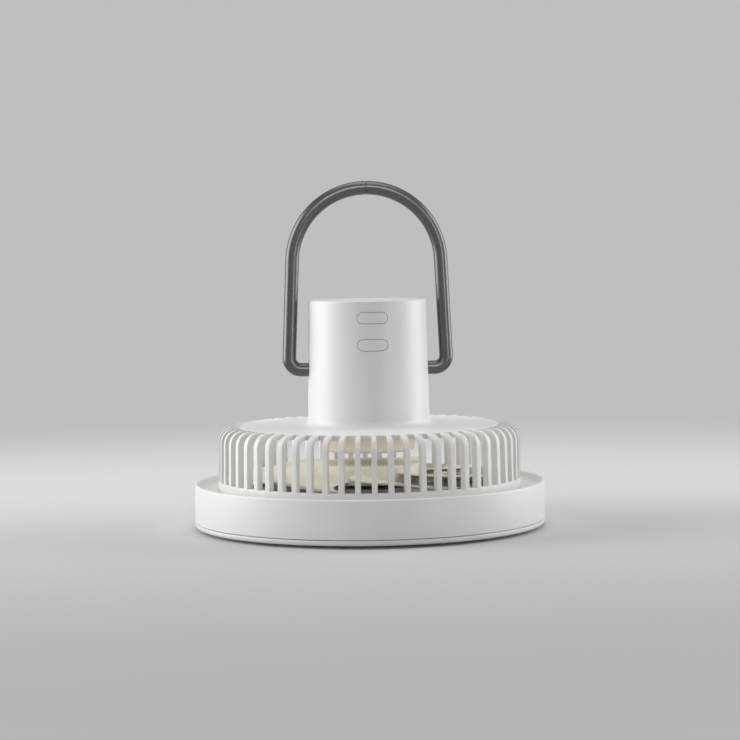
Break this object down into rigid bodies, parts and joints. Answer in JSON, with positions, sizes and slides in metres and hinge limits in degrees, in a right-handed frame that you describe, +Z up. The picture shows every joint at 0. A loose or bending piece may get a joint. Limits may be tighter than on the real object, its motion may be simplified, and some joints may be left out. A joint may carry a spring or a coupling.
{
  "type": "electric bug zapper",
  "caption": "Hanging rechargeable insect killer: a slatted round drum with a suction fan and lamp on a low base ring, an upright cylinder with pill buttons, and a metal bail.",
  "frame": {"origin": "centre of the circle that the feet stand on, on the axis of drum and cylinder", "axes": "+Z up along the drum's axis, the buttons face -Y, the bail's pivot axis is X"},
  "size_m": [0.18, 0.18, 0.1778],
  "materials": {
    "white_plastic": "satin",
    "cream_plastic": "satin",
    "milky_plastic": "satin",
    "black_plastic": "matte",
    "satin_metal": "satin",
    "steel": "brushed",
    "bronze": "matte",
    "copper_wire": "lacquered",
    "board_green": "satin",
    "led_resin": "gloss",
    "rubber": "matte",
    "cell_wrap": "satin",
    "ferrite": "matte"
  },
  "bodies": {
    "housing": {"housing_shell": "white_plastic", "top_cap": "white_plastic", "base_ring": "white_plastic", "base_screw_1": "steel", "base_screw_2": "steel", "base_screw_3": "steel", "base_screw_4": "steel", "lamp_lens": "milky_plastic", "uv_led_board": "board_green", "uv_led_1": "led_resin", "uv_led_2": "led_resin", "uv_led_3": "led_resin", "uv_led_4": "led_resin", "uv_led_5": "led_resin", "uv_led_6": "led_resin", "lamp_board_screw_1": "steel", "lamp_board_screw_2": "steel", "grid_frame": "cream_plastic", "grid_wires_live": "steel", "grid_wires_return": "steel", "high_voltage_module": "black_plastic", "fan_bracket": "cream_plastic", "motor_board": "board_green", "stator_core": "steel", "stator_winding": "copper_wire", "lower_bearing": "bronze", "upper_bearing": "bronze", "control_board": "board_green", "charge_board": "board_green", "usb_socket": "steel", "battery_holder": "black_plastic", "battery_cell_1": "cell_wrap", "battery_cell_2": "cell_wrap", "battery_cell_3": "cell_wrap", "battery_cell_4": "cell_wrap", "power_switch": "black_plastic", "mode_switch": "black_plastic", "pivot_bush_left": "cream_plastic", "pivot_bush_right": "cream_plastic"},
    "bail": {"handle_left": "satin_metal", "handle_right": "satin_metal", "handle_dowel": "steel", "clip_left": "steel", "clip_right": "steel"},
    "impeller": {"impeller": "cream_plastic", "rotor_magnet": "ferrite", "motor_shaft": "steel", "shaft_clip": "steel"},
    "power_button": {"power_button": "white_plastic"},
    "mode_button": {"mode_button": "white_plastic"},
    "catch_tray": {"catch_tray": "white_plastic", "rubber_foot_1": "rubber", "rubber_foot_2": "rubber", "rubber_foot_3": "rubber", "rubber_foot_4": "rubber"}
  },
  "joints": [
    {"name": "bail_swing", "type": "hinge", "parent": "housing", "child": "bail", "pos_m": [0, 0, 0.0815], "axis": [1, 0, 0], "range_deg": [-110, 110]},
    {"name": "impeller_spin", "type": "hinge", "parent": "housing", "child": "impeller", "pos_m": [0, 0, 0.025], "axis": [0, 0, 1], "continuous": true},
    {"name": "power_button_press", "type": "slide", "parent": "housing", "child": "power_button", "axis": [0, 1, 0], "range_m": [0, 0.0006], "stiffness_N_per_m": 2000, "springref_m": -0.0004},
    {"name": "mode_button_press", "type": "slide", "parent": "housing", "child": "mode_button", "axis": [0, 1, 0], "range_m": [0, 0.0006], "stiffness_N_per_m": 2000, "springref_m": -0.0004},
    {"name": "tray_twist", "type": "hinge", "parent": "housing", "child": "catch_tray", "pos_m": [0, 0, 0.0042], "axis": [0, 0, 1], "range_deg": [0, 15]}
  ]
}
